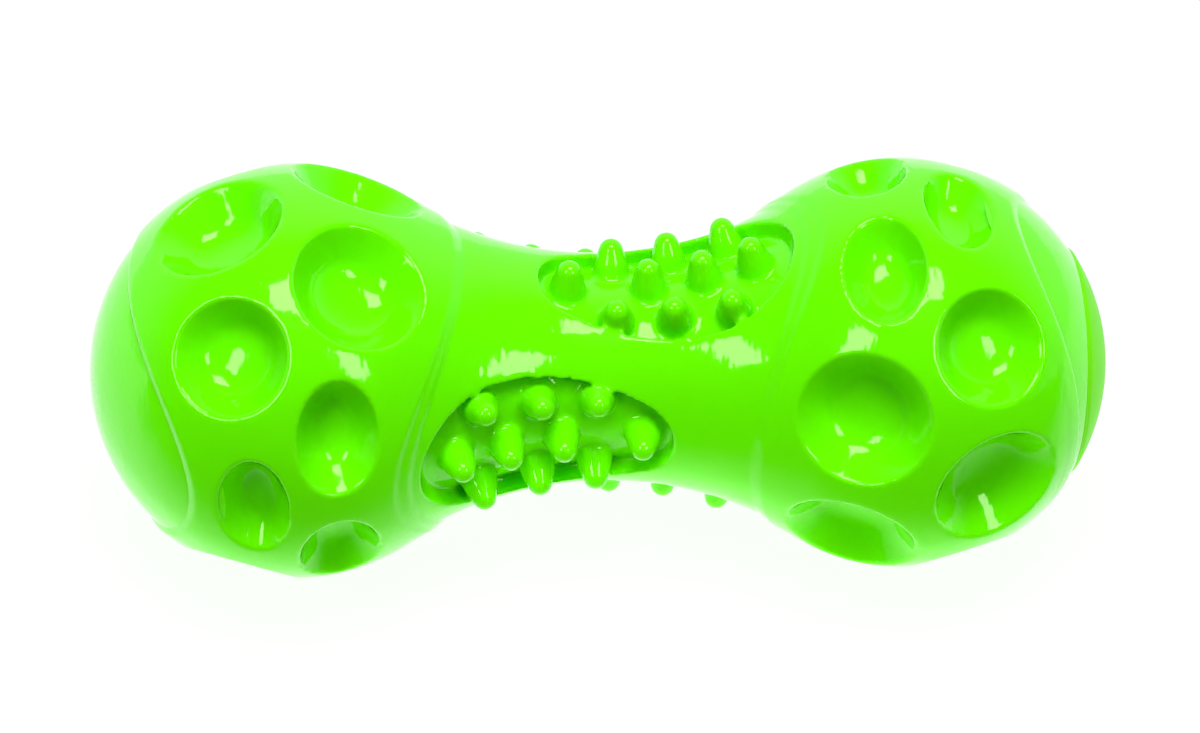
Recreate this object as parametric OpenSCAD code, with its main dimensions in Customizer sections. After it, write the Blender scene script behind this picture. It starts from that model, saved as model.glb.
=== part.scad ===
// Rubber chew toy: a squeaky dumbbell with two dimpled balls and a nubbed neck.
// The body is one hollow rubber moulding, open at both ends. A smooth dome cap is
// bonded into each open end, and a plug in the right cap carries the squeaker.
// X runs along the toy and Z is up. The toy lies on its two balls at Z = 0.
// The right half of the body is the left half given half a turn about the line
// that leans halfway between the front and the top.

/* [Balls] */
// Distance between the centres of the two balls
ball_spacing = 107.4; // [98:0.2:124]
// Radius of a ball over its dimpled belt
ball_r = 36.5; // [35:0.1:38]
// Wall of a ball under its deepest dimples
ball_wall = 3.8; // [3:0.1:6]

/* [Belts] */
// Radius of the arcs that the wavy edges of a belt follow, as a share of ball_r
edge_arc_share = 1.441; // [1.32:0.01:1.7]
// Half the width of a belt on its tall side, as a share of ball_r
belt_reach_share = 0.7644; // [0.74:0.001:0.795]
// Height of a belt over the end dome beside it
dome_step = 0.7; // [0.3:0.1:1.4]
// Height of a belt over the neck beside it
neck_step = 0.8; // [0.3:0.1:1.4]

/* [Dimples] */
// Rim radius of the large round dimples
large_r = 11.6; // [10.5:0.1:12]
// Depth of the large dimples below the plane of the rim
large_depth = 6.8; // [5:0.1:7.5]
// Rim radius of the medium round dimples
medium_r = 10; // [8.5:0.1:10.6]
// Depth of the medium dimples below the plane of the rim
medium_depth = 5.8; // [4:0.1:6.5]
// Half the length of the oval dimples, round the ball
oval_half_l = 10.2; // [9:0.1:11]
// Half the width of the oval dimples on the neck side
wide_oval_r = 6.8; // [5.8:0.1:7.2]
// Depth of the oval dimples on the neck side
wide_oval_depth = 5.5; // [4:0.1:5.7]
// Half the width of the oval dimples on the end side
slim_oval_r = 6; // [5.4:0.1:6.6]
// Depth of the oval dimples on the end side
slim_oval_depth = 5; // [4:0.1:5.3]

/* [Neck] */
// Radius of the neck at its middle
neck_r = 20.2; // [19:0.1:22]
// Depth of the egg-shaped nub fields
field_depth = 3.3; // [2:0.1:4]
// Wall between the nub fields and the bore of the neck
neck_wall = 3.8; // [3:0.1:6]
// Radius of the wide end of a nub field
field_wide_r = 12.7; // [12.3:0.1:13.2]
// Radius of the narrow end of a nub field
field_narrow_r = 8.2; // [7.6:0.1:8.8]
// Radius of the long sides of a nub field
field_side_r = 60; // [45:1:90]
// Distance of the wide end's centre from the middle of the toy
field_wide_x = 19.6; // [19:0.1:20.4]
// Distance of the narrow end's centre past the middle of the toy
field_narrow_x = 3.2; // [2.8:0.1:4.2]

/* [Nubs] */
// Height of a nub over the floor of its field
nub_h = 6.5; // [5:0.1:7.5]
// Radius of a nub at its foot
nub_r = 3.2; // [2.6:0.1:3.4]
// Radius of the round tip of a nub
nub_tip_r = 2.3; // [1.8:0.1:2.5]
// Distance between neighbouring nubs along a row
nub_pitch = 10.2; // [9.6:0.1:10.8]
// Place of the outer rows' last nub, past the middle of the toy
nub_row_start = -1.8; // [-2.6:0.1:-1]

/* [End caps] */
// Gap of the glue line where a cap or a plug is bonded in
bond_gap = 0.1; // [0.05:0.01:0.2]
// Wall of an end cap at the tip of its dome
cap_wall = 4.8; // [4.2:0.1:7]
// Wall of the spigot that an end cap pushes into the body
spigot_wall = 3.6; // [2.5:0.1:5]
// Place of the spigot's inner rim out from the ball's centre, as a share of ball_r
spigot_start_share = 0.425; // [0.405:0.005:0.49]

/* [End plug] */
// Radius of the round plug in the right end cap, as a share of ball_r
plug_share = 0.564; // [0.47:0.002:0.568]
// Thickness of the plug's flange
plug_flange = 1.9; // [1.2:0.1:2.4]
// How far the plug stands proud of the dome
plug_proud = 0.35; // [0.1:0.05:0.8]
// Radius of the plug's hub
hub_r = 10.4; // [9.8:0.1:12]
// Radius of the air hole
air_hole_r = 1.3; // [0.8:0.1:2]

/* [Squeaker] */
// Outer radius of the squeaker cup
cup_r = 7.6; // [7:0.1:8.2]
// Length of the squeaker cup
cup_len = 11; // [9:0.1:13]
// Wall of the squeaker cup
cup_wall = 1.1; // [0.8:0.1:1.6]
// Clearance between the squeaker's pieces
squeaker_gap = 0.1; // [0.05:0.01:0.2]
// Length of the vibrating reed
reed_len = 9; // [7:0.1:9.4]
// Width of the vibrating reed
reed_w = 4; // [3:0.1:5]
// Thickness of the vibrating reed
reed_t = 0.3; // [0.2:0.05:0.5]

/* [Hidden] */
$fa = 4;
$fs = 0.6;

// Colours
rubber_green = [0.42, 0.95, 0.05];
plug_green = [0.3, 0.75, 0.08];
cup_white = [0.92, 0.93, 0.9];
seat_white = [0.8, 0.84, 0.86];
reed_clear = [0.75, 0.85, 0.9];

// Places along the toy
half_spacing = ball_spacing / 2;
dome_r = ball_r - dome_step;

// Belts, spigots and plug keep their share of the ball
edge_arc_r = edge_arc_share * ball_r;
belt_reach = belt_reach_share * ball_r;
spigot_start = spigot_start_share * ball_r;
plug_r = plug_share * ball_r;

// The waist is an arc that runs almost smoothly into both balls
waist_crease = ball_r / 700;
crest_r = neck_r + neck_step;
waist_meet_r = ball_r - waist_crease;
waist_arc_r = (half_spacing * half_spacing + crest_r * crest_r - waist_meet_r * waist_meet_r)
    / (2 * (waist_meet_r - crest_r));
waist_arc_out = crest_r + waist_arc_r;
waist_meet_dist = waist_meet_r + waist_arc_r;

// Cuts run past the faces that they open by this much
overrun = ball_r / 12;

// The belt's edges are two arcs, centred this far past the ball's centre
edge_arc_back = edge_arc_r - belt_reach;

// Dimples: degrees out from the ball's middle, and degrees from the tall side
large_end_out = 20.4;
large_neck_out = -19.1;
large_neck_turn = 23.9;
medium_out = 16.4;
medium_turn = 45;
wide_oval_out = -12.2;
wide_oval_turn = 21.7;
slim_oval_out = 10.9;
floor_share = 0.74;

// The cavity leaves the ball's wall under the large dimples
large_rim_plane = sqrt(ball_r * ball_r - large_r * large_r);
medium_rim_plane = sqrt(ball_r * ball_r - medium_r * medium_r);
oval_rim_plane = sqrt(ball_r * ball_r - oval_half_l * oval_half_l);
cavity_r = large_rim_plane - large_depth - ball_wall;
mouth_share = 0.88;
mouth_r = mouth_share * cavity_r;
neck_bore_r = neck_r - field_depth - neck_wall;

// Nub fields: the floor follows the waist, and the rows lie on it
field_inset = neck_step + field_depth;
nub_row_turn = 23;
nub_lean_share = 0.7;
nub_root = field_depth / 3;
middle_row_shares = [0.8, -0.6, -1.55, -2.4];
side_row_shares = [0, -1, -2];

// End cap: spigot, pocket and the seat of the plug
spigot_r = mouth_r - bond_gap;
pocket_r = spigot_r - spigot_wall;
pocket_dome_r = dome_r - cap_wall;
plug_seat_r = dome_r - plug_flange;

// Squeaker: the cup's closed end lies under the plug's skin
cup_floor = plug_seat_r - cup_wall;
cup_mouth = cup_floor + cup_wall - cup_len;
hub_bottom = cup_mouth;
cup_bore_r = cup_r - cup_wall;
cup_lip_r = cup_r + cup_wall;
cup_lip_t = cup_wall;
seat_r = cup_bore_r - squeaker_gap;
seat_len = cup_len / 2;
seat_channel_w = reed_w / 2;
reed_y = -reed_t / 2;

module toy() {
    translate([0, 0, ball_r]) children();
}

// Half a turn that puts the right end where the left end is
module right_half() {
    rotate(a = 180, v = [0, -1, 1]) children();
}

module both_halves() {
    children();
    right_half() children();
}

// The left ball's own axes: Z out along the toy, X to the belt's tall side
module left_end() {
    translate([-half_spacing, 0, 0])
        rotate([0, -90, 0])
            children();
}

// Outline of the whole toy as radius and length, moved inwards by inset
module outline(inset) {
    r = ball_r - inset;
    reach = half_spacing - r * half_spacing / waist_meet_dist;
    intersection() {
        difference() {
            union() {
                for (side = [-1, 1])
                    translate([0, side * half_spacing]) circle(r);
                translate([0, -reach])
                    square([r * waist_arc_out / waist_meet_dist, 2 * reach]);
            }
            translate([waist_arc_out, 0]) circle(waist_arc_r + inset);
        }
        translate([0, -half_spacing - ball_r])
            square([ball_r, ball_spacing + 2 * ball_r]);
    }
}

module skin(inset) {
    rotate([0, 90, 0])
        rotate_extrude() outline(inset);
}

// The lens-shaped space between the two wavy edges of a belt
module belt_zone(gap) {
    intersection_for (side = [-1, 1])
        translate([-2 * ball_r, 0, -side * edge_arc_back])
            rotate([0, 90, 0])
                cylinder(r = edge_arc_r + gap, h = 4 * ball_r);
}

// Neck and belts, still solid
module body_skin() {
    intersection() {
        skin(0);
        both_halves() left_end() belt_zone(0);
    }
    intersection() {
        skin(neck_step);
        translate([-half_spacing, -ball_r, -ball_r])
            cube([ball_spacing, 2 * ball_r, 2 * ball_r]);
    }
}

// Puts a cutter on the left ball, out degrees from its middle circle and
// turned by turn degrees from the belt's tall side
module on_ball(out, turn, rim_plane) {
    rotate([0, 0, turn])
        rotate([0, 90 - out, 0])
            translate([0, 0, rim_plane])
                children();
}

// A round dimple with a flat floor and a wall that widens to the rim
module round_dimple(r, depth) {
    slope = r * (1 - floor_share) / depth;
    translate([0, 0, -depth])
        cylinder(r1 = r * floor_share, r2 = r + slope * overrun, h = depth + overrun);
}

// An oval dimple is the underside of a barrel that lies across the toy, with its
// axis high enough for the rim to come out as half_l and half_w
module oval_dimple(half_l, half_w, depth) {
    lift = (half_w * half_w / depth - depth) / 2;
    arc_r = (half_l * half_l + depth * depth) / (2 * depth);
    translate([0, 0, lift])
        rotate([90, 0, 0])
            rotate_extrude() intersection() {
                translate([lift + depth - arc_r, 0]) circle(arc_r);
                translate([0, -arc_r]) square(2 * arc_r);
            }
}

module dimples() {
    for (side = [0, 180]) {
        on_ball(large_end_out, side, large_rim_plane)
            round_dimple(large_r, large_depth);
        on_ball(slim_oval_out, side + 90, oval_rim_plane)
            oval_dimple(oval_half_l, slim_oval_r, slim_oval_depth);
        for (way = [-1, 1]) {
            on_ball(medium_out, side + way * medium_turn, medium_rim_plane)
                round_dimple(medium_r, medium_depth);
            on_ball(large_neck_out, side + way * large_neck_turn, large_rim_plane)
                round_dimple(large_r, large_depth);
            on_ball(wide_oval_out, side + 90 + way * wide_oval_turn, oval_rim_plane)
                oval_dimple(oval_half_l, wide_oval_r, wide_oval_depth);
        }
    }
}

// Ball cavity and the mouth that the end cap's spigot fills
module ball_cavity() {
    sphere(cavity_r);
    cylinder(r = mouth_r, h = ball_r + overrun);
}

function arc_points(centre, r, from, to, steps) =
    [for (i = [0:steps]) centre + r * [cos(from + (to - from) * i / steps),
                                       sin(from + (to - from) * i / steps)]];

// Egg outline of a nub field: two round ends joined by long side arcs.
// The side arcs touch both ends from inside, so their centre is worked out.
module field_outline() {
    reach = field_wide_x + field_narrow_x;
    to_wide = field_side_r - field_wide_r;
    to_narrow = field_side_r - field_narrow_r;
    along = (to_wide * to_wide - to_narrow * to_narrow + reach * reach) / (2 * reach);
    back = sqrt(to_wide * to_wide - along * along);
    wide_turn = atan2(back, -along);
    narrow_turn = atan2(back, reach - along);
    polygon(concat(
        arc_points([field_narrow_x, 0], field_narrow_r, -narrow_turn, narrow_turn, 8),
        arc_points([along - field_wide_x, -back], field_side_r, narrow_turn, wide_turn, 5),
        arc_points([-field_wide_x, 0], field_wide_r, wide_turn, 360 - wide_turn, 10),
        arc_points([along - field_wide_x, back], field_side_r, -wide_turn, -narrow_turn, 5)));
}

// Fields of the left half, at the front and the back of the toy
module field_cutter() {
    difference() {
        for (side = [90, -90])
            rotate([side, 0, 0])
                linear_extrude(height = ball_r) field_outline();
        skin(field_inset);
    }
}

function floor_r(x) = waist_arc_out
    - sqrt(pow(waist_arc_r + field_inset, 2) - x * x);

// A nub: a tapered stem with a round tip, rooted below the floor
module nub() {
    rotate_extrude() intersection() {
        union() {
            polygon([[0, -nub_root], [nub_r, -nub_root], [nub_r, 0],
                     [nub_tip_r, nub_h - nub_tip_r], [0, nub_h - nub_tip_r]]);
            translate([0, nub_h - nub_tip_r]) circle(nub_tip_r);
        }
        translate([0, -nub_root]) square([nub_r, nub_h + nub_root]);
    }
}

module nub_row(turn, row_shares) {
    for (share = row_shares) {
        x = share * nub_pitch + nub_row_start;
        lean = nub_lean_share * asin(x / (waist_arc_r + field_inset));
        rotate([turn, 0, 0])
            translate([x, 0, floor_r(x)])
                rotate([0, -lean, 0])
                    nub();
    }
}

module nubs() {
    for (side = [90, -90])
        rotate([side, 0, 0]) {
            nub_row(0, middle_row_shares);
            nub_row(nub_row_turn, side_row_shares);
            nub_row(-nub_row_turn, side_row_shares);
        }
}

module body() {
    color(rubber_green)
        toy() {
            difference() {
                body_skin();
                both_halves() field_cutter();
                both_halves() left_end() dimples();
                both_halves() left_end() ball_cavity();
                translate([-half_spacing, 0, 0])
                    rotate([0, 90, 0])
                        cylinder(r = neck_bore_r, h = ball_spacing);
            }
            both_halves() nubs();
        }
}

// A dome with a spigot and a pocket, on the left ball's own axes
module end_cap() {
    difference() {
        union() {
            difference() {
                sphere(dome_r);
                belt_zone(bond_gap);
                translate([-ball_r, -ball_r, -2 * ball_r])
                    cube([2 * ball_r, 2 * ball_r, 2 * ball_r]);
            }
            translate([0, 0, spigot_start])
                cylinder(r = spigot_r, h = belt_reach - spigot_start);
        }
        intersection() {
            sphere(pocket_dome_r);
            cylinder(r = pocket_r, h = ball_r);
        }
    }
}

module left_end_cap() {
    color(rubber_green)
        toy() left_end() end_cap();
}

module right_end_cap() {
    color(rubber_green)
        toy() right_half() left_end()
            difference() {
                end_cap();
                cylinder(r = hub_r + bond_gap, h = ball_r + overrun);
                difference() {
                    cylinder(r = plug_r + bond_gap, h = ball_r + overrun);
                    sphere(plug_seat_r - bond_gap);
                }
            }
}

module end_plug() {
    color(plug_green)
        toy() right_half() left_end()
            difference() {
                union() {
                    difference() {
                        intersection() {
                            sphere(dome_r + plug_proud);
                            cylinder(r = plug_r, h = ball_r + overrun);
                        }
                        sphere(plug_seat_r);
                    }
                    translate([0, 0, hub_bottom])
                        cylinder(r = hub_r, h = plug_seat_r - hub_bottom);
                }
                cylinder(r = cup_r + squeaker_gap, h = cup_floor + cup_wall);
                cylinder(r = air_hole_r, h = ball_r + overrun);
            }
}

module squeaker_cup() {
    color(cup_white)
        toy() right_half() left_end()
            difference() {
                union() {
                    translate([0, 0, cup_mouth])
                        cylinder(r = cup_r, h = cup_len);
                    translate([0, 0, cup_mouth - cup_lip_t])
                        cylinder(r = cup_lip_r, h = cup_lip_t);
                }
                translate([0, 0, cup_mouth - cup_lip_t - overrun])
                    cylinder(r = cup_bore_r, h = cup_len + cup_lip_t + overrun - cup_wall);
                cylinder(r = air_hole_r, h = ball_r);
            }
}

// The seat fills the cup's mouth and grips the reed in a slit beside its channel
module squeaker_reed_seat() {
    color(seat_white)
        toy() right_half() left_end()
            difference() {
                translate([0, 0, cup_mouth - cup_lip_t])
                    cylinder(r = seat_r, h = seat_len);
                translate([-seat_channel_w / 2, 0, 0])
                    cube([seat_channel_w, seat_channel_w, ball_r]);
                translate([-reed_w / 2, reed_y, cup_mouth] - squeaker_gap * [1, 1, 1])
                    cube([reed_w, reed_t, reed_len] + squeaker_gap * [2, 2, 0]);
            }
}

module squeaker_reed() {
    color(reed_clear)
        toy() right_half() left_end()
            translate([-reed_w / 2, reed_y, cup_mouth])
                cube([reed_w, reed_t, reed_len]);
}

body();
left_end_cap();
right_end_cap();
end_plug();
squeaker_cup();
squeaker_reed_seat();
squeaker_reed();
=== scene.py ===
from math import asin, atan2, cos, degrees, pi, radians, sin, sqrt

import bpy
from bpy.props import FloatProperty, FloatVectorProperty, IntProperty, PointerProperty
from mathutils import Euler, Matrix, Vector


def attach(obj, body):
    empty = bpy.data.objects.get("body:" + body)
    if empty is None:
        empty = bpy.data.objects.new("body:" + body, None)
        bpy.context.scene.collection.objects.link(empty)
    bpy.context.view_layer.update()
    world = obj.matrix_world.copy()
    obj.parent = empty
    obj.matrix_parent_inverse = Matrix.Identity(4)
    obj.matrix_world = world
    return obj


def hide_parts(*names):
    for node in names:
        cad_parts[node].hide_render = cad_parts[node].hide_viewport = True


bl_info = {
    "name": "Rubber Chew Toy",
    "version": (1, 0, 0),
    "blender": (4, 5, 0),
    "location": "View3D > Sidebar > Chew Toy",
    "description": "Builds the looks of a dumbbell-shaped rubber chew toy around its frame",
    "category": "Object",
}

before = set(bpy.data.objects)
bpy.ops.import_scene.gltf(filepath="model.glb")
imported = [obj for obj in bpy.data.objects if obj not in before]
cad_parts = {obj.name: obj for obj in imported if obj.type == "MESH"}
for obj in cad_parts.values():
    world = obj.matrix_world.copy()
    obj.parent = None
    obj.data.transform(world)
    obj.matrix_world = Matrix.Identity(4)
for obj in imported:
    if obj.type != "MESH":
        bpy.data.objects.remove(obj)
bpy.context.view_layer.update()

ROOT = "root"
RUBBER = "glossy_green_rubber"
MM = 0.001


class ToySizes(bpy.types.PropertyGroup):
    """Sizes of the rubber body and its caps"""

    ball_spacing: FloatProperty(
        name="Ball Spacing", unit="LENGTH", default=0.1074,
        description="Distance between the centres of the two balls")
    ball_r: FloatProperty(
        name="Ball Radius", unit="LENGTH", default=0.0365,
        description="Radius of a ball over its dimpled belt")
    neck_r: FloatProperty(
        name="Neck Radius", unit="LENGTH", default=0.0202,
        description="Radius of the neck at its middle")
    edge_arc_r: FloatProperty(
        name="Belt Edge Arc", unit="LENGTH", default=0.0526,
        description="Radius of the arcs that the wavy belt edges follow")
    belt_reach: FloatProperty(
        name="Belt Reach", unit="LENGTH", default=0.0279,
        description="Half the width of a belt on its tall side")
    dome_step: FloatProperty(
        name="Dome Step", unit="LENGTH", default=0.0007,
        description="Height of a belt over the end dome")
    neck_step: FloatProperty(
        name="Neck Step", unit="LENGTH", default=0.0008,
        description="Height of a belt over the neck")
    lip_width: FloatProperty(
        name="Lip Width", unit="LENGTH", default=0.0009,
        description="Width of the half step before a belt's edge on the neck side")
    large_r: FloatProperty(
        name="Large Dimple", unit="LENGTH", default=0.0116,
        description="Rim radius of the large round dimples")
    large_depth: FloatProperty(
        name="Large Dimple Depth", unit="LENGTH", default=0.0068,
        description="Depth of the large dimples below the rim plane")
    medium_r: FloatProperty(
        name="Medium Dimple", unit="LENGTH", default=0.0100,
        description="Rim radius of the medium round dimples")
    medium_depth: FloatProperty(
        name="Medium Dimple Depth", unit="LENGTH", default=0.0058,
        description="Depth of the medium dimples below the rim plane")
    oval_half_l: FloatProperty(
        name="Oval Half Length", unit="LENGTH", default=0.0102,
        description="Half the length of the oval dimples")
    wide_oval_r: FloatProperty(
        name="Wide Oval", unit="LENGTH", default=0.0068,
        description="Half the width of the oval dimples on the neck side")
    wide_oval_depth: FloatProperty(
        name="Wide Oval Depth", unit="LENGTH", default=0.0055,
        description="Depth of the oval dimples on the neck side")
    slim_oval_r: FloatProperty(
        name="Slim Oval", unit="LENGTH", default=0.0060,
        description="Half the width of the oval dimples on the end side")
    slim_oval_depth: FloatProperty(
        name="Slim Oval Depth", unit="LENGTH", default=0.0050,
        description="Depth of the oval dimples on the end side")
    field_depth: FloatProperty(
        name="Nub Field Depth", unit="LENGTH", default=0.0033,
        description="Depth of the egg-shaped nub fields")
    field_wide_r: FloatProperty(
        name="Field Wide End", unit="LENGTH", default=0.0127,
        description="Radius of the wide end of a nub field")
    field_narrow_r: FloatProperty(
        name="Field Narrow End", unit="LENGTH", default=0.0082,
        description="Radius of the narrow end of a nub field")
    field_side_r: FloatProperty(
        name="Field Sides", unit="LENGTH", default=0.060,
        description="Radius of the long sides of a nub field")
    field_wide_x: FloatProperty(
        name="Field Wide Place", unit="LENGTH", default=0.0196,
        description="Distance of the wide end's centre from the middle")
    field_narrow_x: FloatProperty(
        name="Field Narrow Place", unit="LENGTH", default=0.0032,
        description="Distance of the narrow end's centre past the middle")
    nub_h: FloatProperty(
        name="Nub Height", unit="LENGTH", default=0.0066,
        description="Height of a nub over the floor of its field")
    nub_r: FloatProperty(
        name="Nub Foot Radius", unit="LENGTH", default=0.00325,
        description="Radius of a nub at its foot")
    nub_tip_r: FloatProperty(
        name="Nub Tip Radius", unit="LENGTH", default=0.0022,
        description="Radius of the round tip of a nub")
    nub_pitch: FloatProperty(
        name="Nub Pitch", unit="LENGTH", default=0.0102,
        description="Distance between neighbouring nubs along a row")
    nub_row_start: FloatProperty(
        name="Nub Row Start", unit="LENGTH", default=-0.0018,
        description="Place of the outer rows' last nub")
    belt_tuck: FloatProperty(
        name="Cap Tuck", unit="LENGTH", default=0.003,
        description="How far a cap's dome runs on under the edge of its belt")
    cap_low_share: FloatProperty(
        name="Cap Depth Share", default=0.30,
        description="Distance of a cap's back from the ball's middle, as a share of its radius")
    plug_r: FloatProperty(
        name="Plug Radius", unit="LENGTH", default=0.0206,
        description="Radius of the round plug in the right cap")
    plug_gap: FloatProperty(
        name="Plug Gap", unit="LENGTH", default=0.0001,
        description="Gap round the plug")
    plug_flange: FloatProperty(
        name="Plug Thickness", unit="LENGTH", default=0.0019,
        description="Thickness of the plug's flange")
    plug_proud: FloatProperty(
        name="Plug Proud", unit="LENGTH", default=0.00035,
        description="How far the plug stands proud of the dome")
    air_hole_r: FloatProperty(
        name="Air Hole", unit="LENGTH", default=0.0013,
        description="Radius of the air hole in the plug")
    skin_voxel: FloatProperty(
        name="Skin Voxel", unit="LENGTH", default=0.00045,
        description="Size of the cells that the rubber skin is remeshed to")
    skin_smoothing: IntProperty(
        name="Skin Smoothing", default=5,
        description="Smoothing passes that round the rims and edges")
    skin_triangles: IntProperty(
        name="Skin Triangles", default=192000,
        description="Most triangles that the rubber skin keeps")


class ToyLook(bpy.types.PropertyGroup):
    """Colours of the rubber and the squeaker"""

    rubber: FloatVectorProperty(
        name="Rubber", subtype="COLOR", size=4, default=(0.11, 0.76, 0.0, 1.0),
        description="Green of the glossy rubber")
    plug: FloatVectorProperty(
        name="Plug", subtype="COLOR", size=4, default=(0.13, 0.66, 0.0, 1.0),
        description="Green of the satin end plug")
    cup: FloatVectorProperty(
        name="Squeaker Cup", subtype="COLOR", size=4, default=(0.90, 0.91, 0.88, 1.0),
        description="White of the squeaker cup")
    seat: FloatVectorProperty(
        name="Reed Seat", subtype="COLOR", size=4, default=(0.80, 0.84, 0.86, 1.0),
        description="White of the reed seat")
    reed: FloatVectorProperty(
        name="Reed", subtype="COLOR", size=4, default=(0.75, 0.85, 0.90, 1.0),
        description="Tint of the vibrating reed")


class ToyView(bpy.types.PropertyGroup):
    """Camera and studio"""

    azimuth: FloatProperty(
        name="Azimuth", subtype="ANGLE", default=radians(5.41),
        description="Turn of the camera from the front of the toy")
    elevation: FloatProperty(
        name="Elevation", subtype="ANGLE", default=radians(41.02),
        description="Height of the camera over the horizon")
    roll: FloatProperty(
        name="Roll", subtype="ANGLE", default=radians(2.75),
        description="Turn of the camera about its own axis")
    distance: FloatProperty(
        name="Distance", unit="LENGTH", default=0.5785,
        description="Distance of the camera from the middle of the toy")
    lens: FloatProperty(
        name="Lens", default=98.0,
        description="Focal length in millimetres on a 36 mm sensor")


def sizes():
    return bpy.context.scene.toy_sizes


def look():
    return bpy.context.scene.toy_look


def view():
    return bpy.context.scene.toy_view


# Working on one object at a time

def pick(*objects):
    """Selects only these objects, and makes the first one active"""
    if bpy.context.object and bpy.context.object.mode != "OBJECT":
        bpy.ops.object.mode_set(mode="OBJECT")
    bpy.ops.object.select_all(action="DESELECT")
    for obj in objects:
        obj.select_set(True)
    bpy.context.view_layer.objects.active = objects[0] if objects else None


def modify(obj, kind, **settings):
    """Adds a modifier, sets it up and applies it"""
    pick(obj)
    modifier = obj.modifiers.new(kind.title(), kind)
    for name, value in settings.items():
        setattr(modifier, name, value)
    bpy.ops.object.modifier_apply(modifier=modifier.name)


def combine(obj, tool, operation, solver="MANIFOLD"):
    """Cuts, joins or trims obj with tool, which is used up"""
    modify(obj, "BOOLEAN", object=tool, operation=operation, solver=solver)
    bpy.data.objects.remove(tool)
    return obj


def joined(objects, name):
    pick(*objects)
    if len(objects) > 1:
        bpy.ops.object.join()
    obj = bpy.context.object
    obj.name = name
    return obj


def copied(obj):
    pick(obj)
    bpy.ops.object.duplicate()
    return bpy.context.object


def placed(obj, matrix):
    """Moves obj by a matrix and applies it, so that its place is in its mesh"""
    obj.matrix_world = matrix @ obj.matrix_world
    pick(obj)
    bpy.ops.object.transform_apply(location=True, rotation=True, scale=True)
    return obj


def chain(name, points):
    """An open chain of points in the XZ plane, extruded one after the other"""
    pick()
    bpy.ops.mesh.primitive_plane_add(size=MM)
    obj = bpy.context.object
    obj.name = name
    bpy.ops.object.mode_set(mode="EDIT")
    bpy.ops.mesh.select_all(action="SELECT")
    bpy.ops.mesh.merge(type="CENTER")
    last = Vector((0, 0, 0))
    for index, (x, z) in enumerate(points):
        step = Vector((x, 0, z)) - last
        if index == 0:
            bpy.ops.transform.translate(value=step)
        else:
            bpy.ops.mesh.extrude_region_move(TRANSFORM_OT_translate={"value": step})
        last = Vector((x, 0, z))
    return obj


def spun(name, points, steps):
    """A closed solid, spun about Z from an outline of radius and height"""
    obj = chain(name, points)
    bpy.ops.mesh.select_all(action="SELECT")
    bpy.ops.mesh.spin(steps=steps, angle=2 * pi, center=(0, 0, 0), axis=(0, 0, 1))
    bpy.ops.mesh.select_all(action="SELECT")
    bpy.ops.mesh.remove_doubles(threshold=MM / 200)
    bpy.ops.mesh.normals_make_consistent(inside=False)
    bpy.ops.object.mode_set(mode="OBJECT")
    return obj


def prism(name, points, height):
    """A closed outline in the XY plane, extruded up by height"""
    obj = chain(name, [(x, y) for x, y in points])
    bpy.ops.mesh.select_all(action="SELECT")
    bpy.ops.mesh.edge_face_add()
    bpy.ops.mesh.extrude_region_move(TRANSFORM_OT_translate={"value": (0, height, 0)})
    bpy.ops.mesh.select_all(action="SELECT")
    bpy.ops.mesh.normals_make_consistent(inside=False)
    bpy.ops.object.mode_set(mode="OBJECT")
    return placed(obj, Matrix.Rotation(radians(90), 4, "X") @ Matrix.Scale(-1, 4, (0, 1, 0)))


def arc(centre, r, start, end, steps):
    """Points on an arc, with start and end in degrees"""
    turns = [radians(start + (end - start) * i / steps) for i in range(steps + 1)]
    return [(centre[0] + r * cos(a), centre[1] + r * sin(a)) for a in turns]


# Shared places, angles in degrees

OVERRUN = 3 * MM
LARGE_END_OUT = 20.4
LARGE_NECK_OUT = -19.1
LARGE_NECK_TURN = 23.9
MEDIUM_OUT = 16.4
WIDE_OVAL_OUT = -12.2
WIDE_OVAL_TURN = 21.7
SLIM_OVAL_OUT = 10.9
RING_SHARE = 0.655
DISH_ROUND = 0.33
DISH_TURN = 1.45
RIM_ROUND = 0.4 * MM
NUB_BELLY = 0.25 * MM
NUB_ROW_TURN = 23
NUB_LEAN_SHARE = 0.7
MIDDLE_ROW_SHARES = (0.8, -0.6, -1.55, -2.4)
SIDE_ROW_SHARES = (0, -1, -2)
PLUG_SEAT_SINK = 6 * MM
PLUG_EDGE_ROUND = 0.6 * MM
CAP_SEAM_ANGLE = radians(30)
PLUG_SEAM_ANGLE = radians(40)


def turn(angle, axis):
    return Matrix.Rotation(radians(angle), 4, axis)


def shift(x, y, z):
    return Matrix.Translation((x, y, z))


def right_half():
    """Half a turn that puts the right end where the left end is"""
    return Matrix.Rotation(pi, 4, Vector((0, -1, 1)).normalized())


def left_end():
    """The left ball's own axes: Z out along the toy, X to the belt's tall side"""
    return shift(-sizes().ball_spacing / 2, 0, 0) @ turn(-90, "Y")


def waist():
    """Radius of the waist arc, and the distance of its centre from the axis"""
    s = sizes()
    half, crest = s.ball_spacing / 2, s.neck_r + s.neck_step
    r = (half ** 2 + crest ** 2 - s.ball_r ** 2) / (2 * (s.ball_r - crest))
    return r, crest + r


def skin(name, inset, steps):
    """The whole toy's outline, moved in by inset and spun about X"""
    s = sizes()
    arc_r, arc_out = waist()
    half = s.ball_spacing / 2
    r = s.ball_r - inset
    meet = degrees(atan2(half, arc_out))
    left = arc((0, -half), r, -90, meet, steps // 4)
    middle = arc((arc_out, 0), arc_r + inset, 180 + meet, 180 - meet, steps // 4)
    right = arc((0, half), r, -meet, 90, steps // 4)
    points = left + middle[1:-1] + right
    points[0] = (0, -half - r)
    points[-1] = (0, half + r)
    return placed(spun(name, points, steps), turn(90, "Y"))


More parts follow.
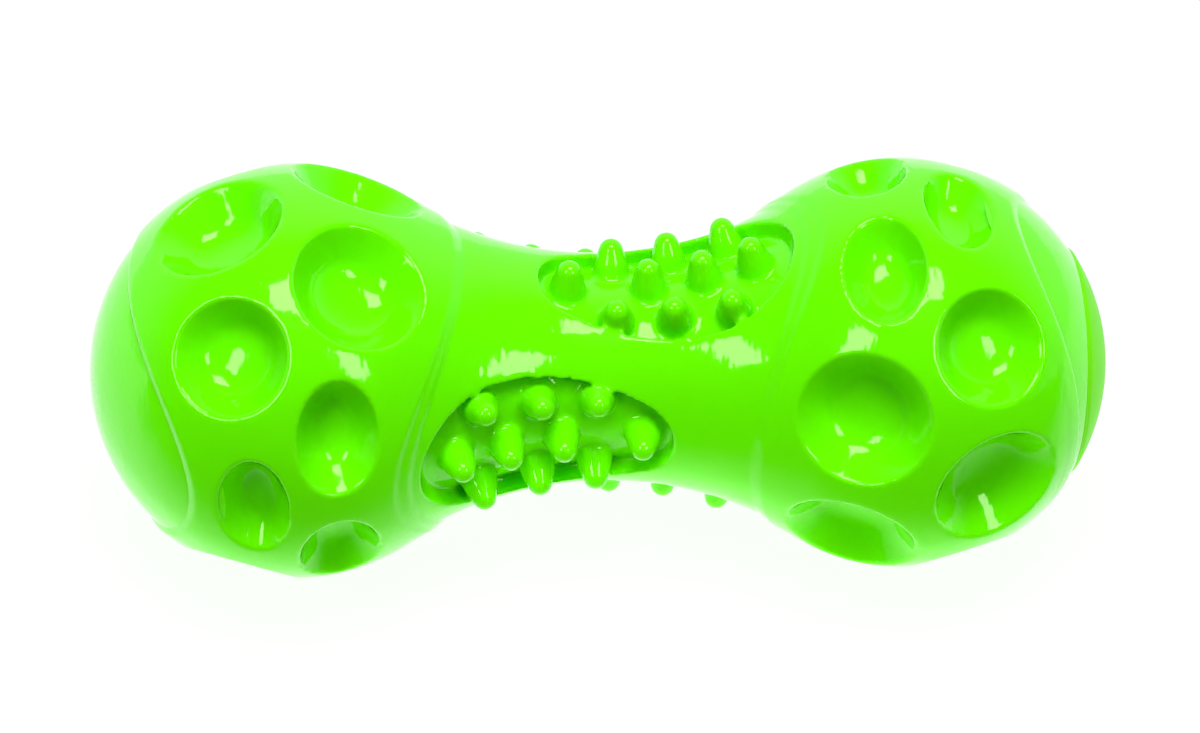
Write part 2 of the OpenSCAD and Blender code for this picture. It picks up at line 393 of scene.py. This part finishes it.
def neck_layer(name, inset):
    """The outline between the middles of the two balls, moved in by inset"""
    s = sizes()
    layer = skin(name, inset, 192)
    pick()
    bpy.ops.mesh.primitive_cube_add(size=1, scale=(s.ball_spacing, 3 * s.ball_r, 3 * s.ball_r))
    slab = bpy.context.object
    bpy.ops.object.transform_apply(location=True, rotation=True, scale=True)
    return combine(layer, slab, "INTERSECT")


def belt_zone(name, gap=0):
    """The space between the two wavy edges of a belt, on the left ball's axes"""
    s = sizes()
    back = s.edge_arc_r - s.belt_reach
    halves = []
    for side in (-1, 1):
        pick()
        bpy.ops.mesh.primitive_cylinder_add(
            vertices=720, radius=s.edge_arc_r + gap, depth=4 * s.ball_r,
            location=(0, 0, -side * back), rotation=(0, pi / 2, 0))
        halves.append(bpy.context.object)
        bpy.ops.object.transform_apply(location=True, rotation=True, scale=True)
    zone = combine(halves[0], halves[1], "INTERSECT")
    zone.name = name
    return zone


def on_ball(out, around, rim_plane):
    """Puts a cutter on the left ball, out from its middle and around from the tall side"""
    return left_end() @ turn(around, "Z") @ turn(90 - out, "Y") @ shift(0, 0, rim_plane)


def bowl_cutter(name, r, depth, squeeze=1):
    """Cutter for a dimple: a dish that turns up into a straight wall, with a rounded rim"""
    profile = []
    for i in range(21):
        x = RING_SHARE * i / 20
        profile.append((r * x, depth * (DISH_ROUND * x ** 2 + DISH_TURN * x ** 5 - 1)))
    ring_x, ring_z = profile[-1]
    for i in range(1, 7):
        profile.append((ring_x + (r - ring_x) * i / 6, ring_z * (1 - i / 6)))
    rim = RIM_ROUND
    profile += [(r + rim * 0.12, rim * 0.5), (r + rim * 0.5, rim), (r + rim * 0.5, OVERRUN),
                (0, OVERRUN)]
    return placed(spun(name, profile, 128), Matrix.Scale(squeeze, 4, (1, 0, 0)))


def dimple_cutters():
    """All dimples of the left ball, joined"""
    s = sizes()
    large_plane = sqrt(s.ball_r ** 2 - s.large_r ** 2)
    medium_plane = sqrt(s.ball_r ** 2 - s.medium_r ** 2)
    oval_plane = sqrt(s.ball_r ** 2 - s.oval_half_l ** 2)
    large = bowl_cutter("large_dimple", s.large_r, s.large_depth)
    medium = bowl_cutter("medium_dimple", s.medium_r, s.medium_depth)
    wide = bowl_cutter("wide_oval", s.oval_half_l, s.wide_oval_depth,
                       s.wide_oval_r / s.oval_half_l)
    slim = bowl_cutter("slim_oval", s.oval_half_l, s.slim_oval_depth,
                       s.slim_oval_r / s.oval_half_l)
    places = []
    for side in (0, 180):
        places.append((large, LARGE_END_OUT, side, large_plane))
        places.append((slim, SLIM_OVAL_OUT, side + 90, oval_plane))
        for way in (-1, 1):
            places.append((medium, MEDIUM_OUT, side + way * 45, medium_plane))
            places.append((large, LARGE_NECK_OUT, side + way * LARGE_NECK_TURN, large_plane))
            places.append((wide, WIDE_OVAL_OUT, side + 90 + way * WIDE_OVAL_TURN, oval_plane))
    cutters = [placed(copied(tool), on_ball(out, around, plane))
               for tool, out, around, plane in places]
    for tool in (large, medium, wide, slim):
        bpy.data.objects.remove(tool)
    return joined(cutters, "dimples")


def field_outline():
    """Egg outline of a nub field: two round ends joined by long side arcs"""
    s = sizes()
    reach = s.field_wide_x + s.field_narrow_x
    to_wide = s.field_side_r - s.field_wide_r
    to_narrow = s.field_side_r - s.field_narrow_r
    along = (to_wide ** 2 - to_narrow ** 2 + reach ** 2) / (2 * reach)
    back = sqrt(to_wide ** 2 - along ** 2)
    wide = degrees(atan2(back, -along))
    narrow = degrees(atan2(back, reach - along))
    points = arc((s.field_narrow_x, 0), s.field_narrow_r, -narrow, narrow, 24)
    points += arc((along - s.field_wide_x, -back), s.field_side_r, narrow, wide, 16)[1:]
    points += arc((-s.field_wide_x, 0), s.field_wide_r, wide, 360 - wide, 36)[1:]
    points += arc((along - s.field_wide_x, back), s.field_side_r, -wide, -narrow, 16)[1:-1]
    return points


def field_cutter():
    """Both nub fields of the left half, with a floor that follows the waist"""
    s = sizes()
    eggs = []
    for side in (90, -90):
        egg = prism("field", field_outline(), s.ball_r)
        eggs.append(placed(egg, turn(side, "X")))
    cutter = joined(eggs, "fields")
    floor = skin("field_floor", s.neck_step + s.field_depth, 96)
    return combine(cutter, floor, "DIFFERENCE", "EXACT")


def nub(name):
    """One nub: a small flare at its foot, a bellied, tapered stem and a round tip"""
    s = sizes()
    root = s.field_depth / 3
    flare = s.nub_r * 0.06
    outline = [(0, -root), (s.nub_r + flare, -root), (s.nub_r + flare, 0)]
    tip_start = s.nub_h - s.nub_tip_r
    for i in range(7):
        t = i / 7
        r = s.nub_r + (s.nub_tip_r - s.nub_r) * t + NUB_BELLY * 4 * t * (1 - t)
        outline.append((r, flare + (tip_start - flare) * t))
    tip = arc((0, tip_start), s.nub_tip_r, 8, 90, 12)
    tip[-1] = (0, s.nub_h)
    return spun(name, outline + tip, 32)


def nubs():
    """All nubs of the left half"""
    s = sizes()
    arc_r, arc_out = waist()
    floor_arc = arc_r + s.neck_step + s.field_depth
    pattern = nub("nub")
    copies = []
    rows = ((0, MIDDLE_ROW_SHARES), (NUB_ROW_TURN, SIDE_ROW_SHARES),
            (-NUB_ROW_TURN, SIDE_ROW_SHARES))
    for side in (90, -90):
        for row_turn, shares in rows:
            for share in shares:
                x = share * s.nub_pitch + s.nub_row_start
                lean = NUB_LEAN_SHARE * degrees(asin(x / floor_arc))
                floor = arc_out - sqrt(floor_arc ** 2 - x ** 2)
                place = turn(side + row_turn, "X") @ shift(x, 0, floor) @ turn(-lean, "Y")
                copies.append(placed(copied(pattern), place))
    bpy.data.objects.remove(pattern)
    return joined(copies, "nubs")


def both_halves(obj, name):
    """Joins obj and its turned copy for the right half"""
    other = placed(copied(obj), right_half())
    return joined([obj, other], name)


def lifted(obj):
    """Raises a piece from the toy's own axis to its place on the floor"""
    return placed(obj, shift(0, 0, sizes().ball_r))


def softened(obj):
    """Remeshes a piece into one even skin and rounds its edges, as rubber comes from a mould"""
    s = sizes()
    voxel = s.skin_voxel * 1
    modify(obj, "REMESH", mode="VOXEL", voxel_size=voxel)
    modify(obj, "SMOOTH", factor=0.5, iterations=s.skin_smoothing)
    triangles = 2 * len(obj.data.polygons)
    if triangles > s.skin_triangles:
        modify(obj, "DECIMATE", ratio=s.skin_triangles / triangles)
    pick(obj)
    bpy.ops.object.shade_smooth()
    return obj


def finished(obj, material, node):
    """Gives a piece its material and its body, and hides the CAD node that it stands for"""
    obj.data.materials.clear()
    obj.data.materials.append(material)
    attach(obj, ROOT)
    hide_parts(node)
    return obj


# Materials

FLOOR_SEEN = 0.93
# Each fade has its start, its end, and the level at either end
# The floor's two glows below are painted light: a pool that brightens towards the toy. It is seen
# in the toy's reflections, and lights its underside at up to 3.2 times white.
FLOOR_PAINTED_REFLECTION_FADE = (-0.07, -0.015, 0.02, 1.2)
FLOOR_PAINTED_BOUNCE_FADE = (-0.11, -0.05, 0.03, 3.2)
ROOM_FADE = (-0.25, 0.45, 0.9, 0.03)
LAMP_DISTANCE = 1.4
SOFTBOX_SIZE = (0.31, 0.50)
OVERHEAD_SIZE = (0.75, 0.45)
FILL_SIZE = (0.7, 0.7)


def new_material(name):
    material = bpy.data.materials.new(name)
    material.use_nodes = True
    tree = material.node_tree
    shader = tree.nodes["Principled BSDF"]
    return material, tree, shader


def surface_noise(tree, scale, detail, distance, normal=None, stretch=(1, 1, 1)):
    """Adds a bump from noise on Object coordinates, and returns its output"""
    place = tree.nodes.new("ShaderNodeTexCoord")
    mapping = tree.nodes.new("ShaderNodeMapping")
    mapping.inputs["Scale"].default_value = stretch
    noise = tree.nodes.new("ShaderNodeTexNoise")
    noise.inputs["Scale"].default_value = scale
    noise.inputs["Detail"].default_value = detail
    bump = tree.nodes.new("ShaderNodeBump")
    bump.inputs["Distance"].default_value = distance
    tree.links.new(place.outputs["Object"], mapping.inputs["Vector"])
    tree.links.new(mapping.outputs["Vector"], noise.inputs["Vector"])
    tree.links.new(noise.outputs["Fac"], bump.inputs["Height"])
    if normal:
        tree.links.new(normal, bump.inputs["Normal"])
    return bump.outputs["Normal"]


def rubber_material():
    """Glossy, slightly translucent rubber with the faint ripple of its mould, made once"""
    if RUBBER in bpy.data.materials:
        return bpy.data.materials[RUBBER]
    material, tree, shader = new_material(RUBBER)
    shader.inputs["Base Color"].default_value = look().rubber
    shader.inputs["Roughness"].default_value = 0.07
    shader.inputs["IOR"].default_value = 1.5
    shader.inputs["Specular Tint"].default_value = (1, 1, 0.7, 1)
    shader.inputs["Subsurface Weight"].default_value = 0.1
    shader.inputs["Subsurface Radius"].default_value = (0.4, 1.0, 0.1)
    shader.inputs["Subsurface Scale"].default_value = 2 * MM
    wave = surface_noise(tree, 110, 1, 0.2 * MM)
    ripple = surface_noise(tree, 800, 1, 0.05 * MM, wave, (1, 0.35, 0.35))
    tree.links.new(ripple, shader.inputs["Normal"])
    return material


def plug_material():
    """Satin rubber of the end plug"""
    material, tree, shader = new_material("satin_green_rubber")
    shader.inputs["Base Color"].default_value = look().plug
    shader.inputs["Roughness"].default_value = 0.4
    shader.inputs["Specular IOR Level"].default_value = 0.04
    shader.inputs["Specular Tint"].default_value = (0.9, 1, 0.2, 1)
    ripple = surface_noise(tree, 900, 4, 0.03 * MM, None, (1, 1, 0.15))
    tree.links.new(ripple, shader.inputs["Normal"])
    return material


def plastic_material(name, colour, roughness):
    """Moulded plastic with a fine grain"""
    material, tree, shader = new_material(name)
    shader.inputs["Base Color"].default_value = colour
    shader.inputs["Roughness"].default_value = roughness
    grain = surface_noise(tree, 1500, 3, 0.004 * MM)
    tree.links.new(grain, shader.inputs["Normal"])
    return material


# Operators

class TOY_OT_body(bpy.types.Operator):
    """Builds the rubber body with its belts, dimples and nub fields, solid where the real body is
    hollow
    """

    bl_idname = "toy.body"
    bl_label = "Body"

    def execute(self, context):
        s = sizes()
        zones = both_halves(placed(belt_zone("belt_zone"), left_end()), "belt_zones")
        belts = combine(skin("rubber_body", 0, 192), zones, "INTERSECT")
        lip_zones = both_halves(placed(belt_zone("lip_zone", s.lip_width), left_end()), "lip_zones")
        lips = combine(neck_layer("lips", s.neck_step / 2), lip_zones, "INTERSECT")
        body = combine(belts, combine(neck_layer("neck", s.neck_step), lips, "UNION"), "UNION")
        combine(body, both_halves(field_cutter(), "fields"), "DIFFERENCE")
        combine(body, both_halves(dimple_cutters(), "dimples"), "DIFFERENCE")
        body = joined([body, both_halves(nubs(), "nubs")], "rubber_body")
        softened(lifted(body))
        finished(body, rubber_material(), "body")
        return {"FINISHED"}


def dome(name, r, reach):
    """The part of a ball that lies past reach, on the left ball's axes"""
    low = degrees(asin(reach / r))
    points = [(0, reach)] + arc((0, 0), r, low, 90, 64)
    points[-1] = (0, r)
    return spun(name, points, 192)


def rounded_disc(name, r, outer, inner, edge):
    """A disc cut from a ball's shell, with rounded rims"""
    top = degrees(asin(sqrt(1 - (r / outer) ** 2)))
    low = degrees(asin(sqrt(1 - (r / inner) ** 2)))
    outside = arc((0, 0), outer, top + degrees(edge / outer), 90, 40)
    outside[-1] = (0, outer)
    corner_x, corner_y = r, outer * sin(radians(top)) - edge
    rim = [(r, inner * sin(radians(low))), (corner_x, corner_y),
           (r - edge * 0.08, corner_y + edge * 0.38), (r - edge * 0.30, corner_y + edge * 0.72),
           (r - edge * 0.62, corner_y + edge * 0.98)]
    inside = arc((0, 0), inner, 90, low, 20)[:-1]
    inside[0] = (0, inner)
    return spun(name, inside + rim + outside, 192)


def drill(r, floor, sides):
    """A round cutter that stands on floor, one ball radius long"""
    pick()
    depth = sizes().ball_r
    bpy.ops.mesh.primitive_cylinder_add(
        vertices=sides, radius=r, depth=depth, location=(0, 0, floor + depth / 2))
    cutter = bpy.context.object
    bpy.ops.object.transform_apply(location=True, rotation=True, scale=True)
    return cutter


class TOY_OT_end_caps(bpy.types.Operator):
    """Builds the two smooth dome caps"""

    bl_idname = "toy.end_caps"
    bl_label = "End Caps"

    def execute(self, context):
        s = sizes()
        for side in ("left", "right"):
            name = side + "_dome_cap"
            cap = dome(name, s.ball_r - s.dome_step, s.ball_r * s.cap_low_share)
            combine(cap, belt_zone("edge", -s.belt_tuck), "DIFFERENCE")
            if side == "right":
                floor = s.ball_r - s.dome_step - s.plug_flange - PLUG_SEAT_SINK
                combine(cap, drill(s.plug_r + s.plug_gap, floor, 192), "DIFFERENCE")
            placed(cap, left_end())
            if side == "right":
                placed(cap, right_half())
            lifted(cap)
            pick(cap)
            bpy.ops.object.shade_smooth_by_angle(angle=CAP_SEAM_ANGLE)
            finished(cap, rubber_material(), side + "_end_cap")
        return {"FINISHED"}


class TOY_OT_end_plug(bpy.types.Operator):
    """Builds the satin plug in the right cap"""

    bl_idname = "toy.end_plug"
    bl_label = "End Plug"

    def execute(self, context):
        s = sizes()
        outer = s.ball_r - s.dome_step + s.plug_proud
        plug = rounded_disc("end_plug_disc", s.plug_r, outer,
                            s.ball_r - s.dome_step - s.plug_flange, PLUG_EDGE_ROUND)
        combine(plug, drill(s.air_hole_r, s.ball_r / 2, 48), "DIFFERENCE")
        lifted(placed(plug, right_half() @ left_end()))
        pick(plug)
        bpy.ops.object.shade_smooth_by_angle(angle=PLUG_SEAM_ANGLE)
        finished(plug, plug_material(), "end_plug")
        return {"FINISHED"}


class TOY_OT_squeaker(bpy.types.Operator):
    """Gives the squeaker's three CAD pieces their plastics"""

    bl_idname = "toy.squeaker"
    bl_label = "Squeaker"

    def execute(self, context):
        plastics = {
            "squeaker_cup": plastic_material("cup_plastic", look().cup, 0.25),
            "squeaker_reed_seat": plastic_material("seat_plastic", look().seat, 0.45),
            "squeaker_reed": plastic_material("reed_plastic", look().reed, 0.15),
        }
        for name, material in plastics.items():
            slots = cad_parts[name].data.materials
            slots.clear()
            slots.append(material)
        return {"FINISHED"}


def smooth_fade(tree, value, fade_range):
    """Adds a soft fade of value between two ends, and returns its output"""
    fade = tree.nodes.new("ShaderNodeMapRange")
    fade.interpolation_type = "SMOOTHSTEP"
    for name, number in zip(("From Min", "From Max", "To Min", "To Max"), fade_range):
        fade.inputs[name].default_value = number
    tree.links.new(value, fade.inputs["Value"])
    return fade.outputs["Result"]


def floor_material():
    """White floor: white to the camera with a faint shadow; to the toy's glossy and diffuse rays it
    glows as a painted pool of light up to just before the toy
    """
    material = bpy.data.materials.new("studio_floor")
    material.use_nodes = True
    tree = material.node_tree
    tree.nodes.clear()
    path = tree.nodes.new("ShaderNodeLightPath")
    place = tree.nodes.new("ShaderNodeTexCoord")
    axes = tree.nodes.new("ShaderNodeSeparateXYZ")
    glossy = smooth_fade(tree, axes.outputs["Y"], FLOOR_PAINTED_REFLECTION_FADE)
    diffuse = smooth_fade(tree, axes.outputs["Y"], FLOOR_PAINTED_BOUNCE_FADE)
    level = tree.nodes.new("ShaderNodeMix")
    glow = tree.nodes.new("ShaderNodeEmission")
    # Painted pool of light: the floor glows to glossy and diffuse rays by its Y, lighting the toy
    # as a lamp would
    lit = tree.nodes.new("ShaderNodeEmission")
    paint = tree.nodes.new("ShaderNodeBsdfDiffuse")
    paint.inputs["Color"].default_value = (0.9, 0.9, 0.9, 1)
    seen = tree.nodes.new("ShaderNodeMixShader")
    seen.inputs[0].default_value = FLOOR_SEEN
    mix = tree.nodes.new("ShaderNodeMixShader")
    end = tree.nodes.new("ShaderNodeOutputMaterial")
    tree.links.new(place.outputs["Object"], axes.inputs[0])
    tree.links.new(path.outputs["Is Diffuse Ray"], level.inputs["Factor"])
    tree.links.new(glossy, level.inputs["A"])
    tree.links.new(diffuse, level.inputs["B"])
    tree.links.new(level.outputs[0], lit.inputs["Strength"])
    tree.links.new(paint.outputs[0], seen.inputs[1])
    tree.links.new(glow.outputs[0], seen.inputs[2])
    tree.links.new(path.outputs["Is Camera Ray"], mix.inputs[0])
    tree.links.new(lit.outputs[0], mix.inputs[1])
    tree.links.new(seen.outputs[0], mix.inputs[2])
    tree.links.new(mix.outputs[0], end.inputs["Surface"])
    return material


def camera_axes():
    """Right, up and back axes of the camera, before its roll"""
    v = view()
    away = Vector((sin(v.azimuth) * cos(v.elevation), cos(v.azimuth) * cos(v.elevation),
                   -sin(v.elevation)))
    right = away.cross(Vector((0, 0, 1))).normalized()
    return right, right.cross(away), -away


def studio_world():
    """A white sweep behind and around the toy, and a darker room behind the camera"""
    world = bpy.data.worlds.new("studio")
    bpy.context.scene.world = world
    world.use_nodes = True
    tree = world.node_tree
    tree.nodes.clear()
    path = tree.nodes.new("ShaderNodeLightPath")
    place = tree.nodes.new("ShaderNodeTexCoord")
    facing = tree.nodes.new("ShaderNodeVectorMath")
    facing.operation = "DOT_PRODUCT"
    facing.inputs[1].default_value = camera_axes()[2]
    seen = tree.nodes.new("ShaderNodeBackground")
    lit = tree.nodes.new("ShaderNodeBackground")
    mix = tree.nodes.new("ShaderNodeMixShader")
    end = tree.nodes.new("ShaderNodeOutputWorld")
    tree.links.new(place.outputs["Generated"], facing.inputs[0])
    fade = smooth_fade(tree, facing.outputs["Value"], ROOM_FADE)
    tree.links.new(fade, lit.inputs["Strength"])
    tree.links.new(path.outputs["Is Camera Ray"], mix.inputs[0])
    tree.links.new(lit.outputs[0], mix.inputs[1])
    tree.links.new(seen.outputs[0], mix.inputs[2])
    tree.links.new(mix.outputs[0], end.inputs["Surface"])


def softbox(name, aside, above, size, power):
    """A soft light, placed by its angle beside and above the camera"""
    right, up, back = camera_axes()
    across, rise = radians(aside), radians(above)
    ray = right * sin(across) * cos(rise) + up * sin(rise) + back * cos(across) * cos(rise)
    centre = Vector((0, 0, sizes().ball_r))
    bpy.ops.object.light_add(type="AREA", location=centre + ray * LAMP_DISTANCE)
    lamp = bpy.context.object
    lamp.name = name
    lamp.rotation_euler = ray.to_track_quat("Z", "Y").to_euler()
    lamp.data.shape = "RECTANGLE"
    lamp.data.size, lamp.data.size_y = size
    lamp.data.energy = power
    return lamp


class TOY_OT_stage(bpy.types.Operator):
    """Adds the floor, the lights, the surroundings and the camera"""

    bl_idname = "toy.stage"
    bl_label = "Stage"

    def execute(self, context):
        pick()
        bpy.ops.mesh.primitive_plane_add(size=6)
        floor = context.object
        floor.name = "studio_floor"
        floor.data.materials.append(floor_material())
        studio_world()
        softbox("left_softbox", -27.5, 8, SOFTBOX_SIZE, 3.8)
        softbox("right_softbox", 33, 6, SOFTBOX_SIZE, 3.8)
        softbox("overhead_softbox", 2, 42, OVERHEAD_SIZE, 9)
        fill = softbox("front_fill", 0, 35, FILL_SIZE, 16)
        fill.visible_glossy = False
        v = view()
        right, up, back = camera_axes()
        centre = Vector((0, 0, sizes().ball_r))
        bpy.ops.object.camera_add(location=centre + back * v.distance)
        camera = context.object
        facing = Matrix((right, up, back)).transposed().to_quaternion()
        camera.rotation_euler = (facing @ Euler((0, 0, v.roll)).to_quaternion()).to_euler()
        camera.data.lens = v.lens
        camera.data.sensor_width = 36
        camera.data.clip_start = 0.01
        context.scene.camera = camera
        context.scene.view_settings.view_transform = "Standard"
        return {"FINISHED"}


class TOY_PT_panel(bpy.types.Panel):
    """Lists the toy's operators"""

    bl_idname = "TOY_PT_panel"
    bl_label = "Chew Toy"
    bl_space_type = "VIEW_3D"
    bl_region_type = "UI"
    bl_category = "Chew Toy"

    def draw(self, context):
        for operator in OPERATORS:
            self.layout.operator(operator.bl_idname)


OPERATORS = (TOY_OT_body, TOY_OT_end_caps, TOY_OT_end_plug, TOY_OT_squeaker, TOY_OT_stage)
CLASSES = (ToySizes, ToyLook, ToyView, *OPERATORS, TOY_PT_panel)


def register():
    for cls in CLASSES:
        bpy.utils.register_class(cls)
    bpy.types.Scene.toy_sizes = PointerProperty(type=ToySizes)
    bpy.types.Scene.toy_look = PointerProperty(type=ToyLook)
    bpy.types.Scene.toy_view = PointerProperty(type=ToyView)


def unregister():
    del bpy.types.Scene.toy_view
    del bpy.types.Scene.toy_look
    del bpy.types.Scene.toy_sizes
    for cls in reversed(CLASSES):
        bpy.utils.unregister_class(cls)


def main():
    register()
    bpy.ops.toy.body()
    bpy.ops.toy.end_caps()
    bpy.ops.toy.end_plug()
    bpy.ops.toy.squeaker()
    bpy.ops.toy.stage()


if __name__ == "__main__":
    main()
